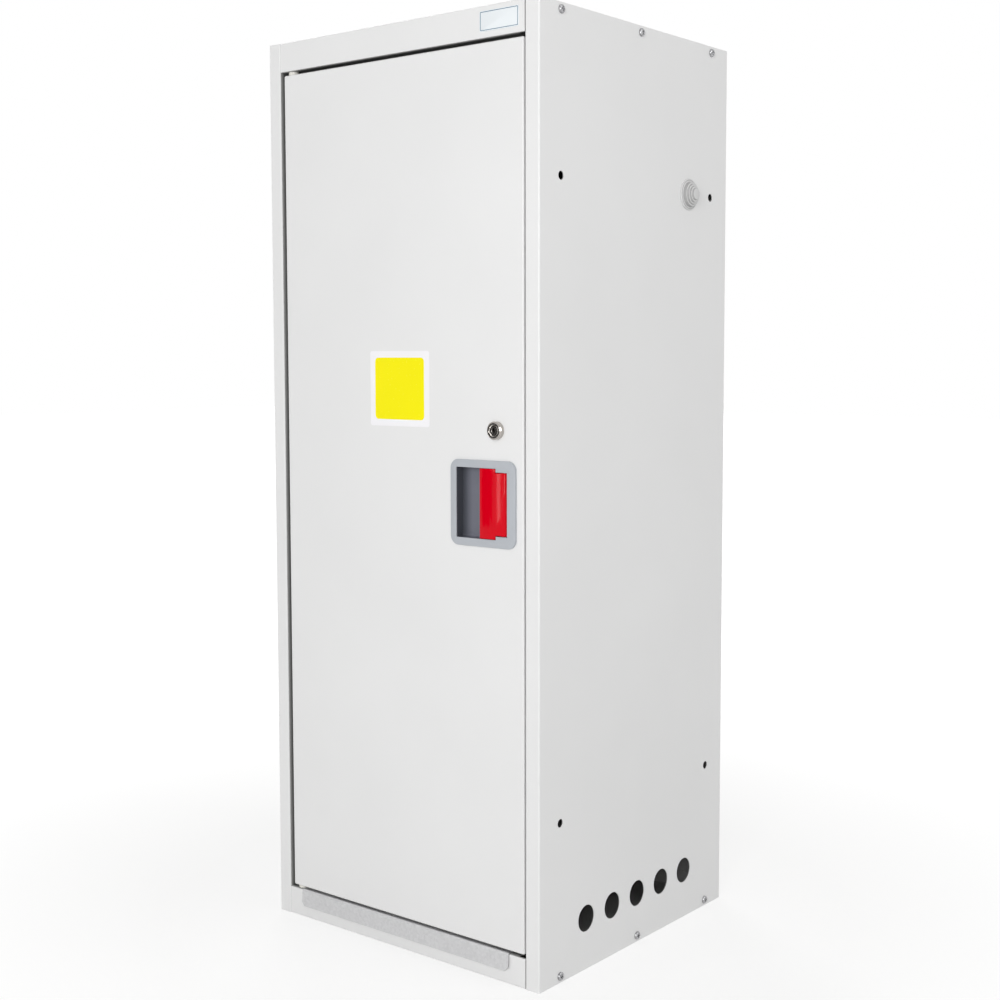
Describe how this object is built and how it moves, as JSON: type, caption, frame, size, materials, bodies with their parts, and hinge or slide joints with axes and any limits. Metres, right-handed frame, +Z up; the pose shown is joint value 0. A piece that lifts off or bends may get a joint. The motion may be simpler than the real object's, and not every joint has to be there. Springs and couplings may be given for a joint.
{
  "type": "gas cylinder cabinet",
  "caption": "Free-standing folded-steel cabinet for a gas cylinder, with a hinged door, recessed paddle latch, cam lock, low vent holes, hose pass-throughs and a loading ramp.",
  "frame": {"origin": "centre of the base, on the floor", "axes": "+X to the lock side of the door, seen from the front; +Y to the back; +Z up; the door faces -Y"},
  "size_m": [0.454, 0.408, 1.12],
  "materials": {
    "powder_coat": "light grey fine-textured powder coat on sheet steel",
    "galvanised_steel": "galvanised sheet steel",
    "zinc_plated_steel": "bright zinc plate",
    "chrome_plate": "nickel-chrome plate",
    "grey_plastic": "moulded plastic, light grey bezel with a dark tub",
    "red_plastic": "smooth red moulded plastic",
    "pale_plastic": "natural white bearing plastic",
    "grommet_rubber": "pale grey elastomer",
    "black_rubber": "black rubber"
  },
  "bodies": {
    "carcass": {"side_panel_right": "powder_coat", "side_panel_left": "powder_coat", "top_panel": "powder_coat", "bottom_panel": "powder_coat", "back_panel": "powder_coat", "back_rivets": "zinc_plated_steel", "case_screws": "chrome_plate", "hose_grommet_right": "grommet_rubber", "hose_grommet_left": "grommet_rubber", "loading_ramp": "galvanised_steel", "cylinder_cradle": "galvanised_steel", "cradle_rivets": "zinc_plated_steel", "door_buffers": "black_rubber", "hinge_bracket_lower": "galvanised_steel", "hinge_bracket_upper": "galvanised_steel", "hinge_pin_lower": "zinc_plated_steel", "hinge_pin_upper": "zinc_plated_steel"},
    "door": {"door_panel": "powder_coat", "door_stiffener": "galvanised_steel", "door_hinge_plate_lower": "galvanised_steel", "door_hinge_plate_upper": "galvanised_steel", "hinge_bush_lower": "pale_plastic", "hinge_bush_upper": "pale_plastic", "handle_housing": "grey_plastic", "handle_retainer": "galvanised_steel", "handle_screws": "zinc_plated_steel", "paddle_pin": "zinc_plated_steel", "latch_guide": "galvanised_steel", "guide_screws": "zinc_plated_steel", "latch_spring": "zinc_plated_steel", "lock_body": "chrome_plate", "lock_nut": "zinc_plated_steel"},
    "handle": {"handle_paddle": "red_plastic"},
    "latch": {"latch_bolt": "zinc_plated_steel"},
    "lock": {"lock_plug": "chrome_plate", "lock_cam": "galvanised_steel", "cam_screw": "zinc_plated_steel"}
  },
  "joints": [
    {"name": "door_swing", "type": "hinge", "parent": "carcass", "child": "door", "pos_m": [-0.1795, -0.191, 0.04], "axis": [0, 0, -1], "range_deg": [0, 110]},
    {"name": "handle_pull", "type": "hinge", "parent": "door", "child": "handle", "pos_m": [0.1637, -0.197, 0.55975], "axis": [0, 0, 1], "range_deg": [0, 30], "stiffness_Nm_per_rad": 0.042, "springref_deg": -48.41},
    {"name": "latch_slide", "type": "slide", "parent": "door", "child": "latch", "axis": [-1, 0, 0], "range_m": [0, 0.0063], "deforming": ["latch_spring"]},
    {"name": "lock_turn", "type": "hinge", "parent": "door", "child": "lock", "pos_m": [0.1545, -0.1752, 0.64425], "axis": [0, 1, 0], "range_deg": [0, 90]}
  ],
  "couplings": [
    {"joint": "latch_slide", "follows": "handle_pull", "m_per_rad": 0.01184}
  ]
}
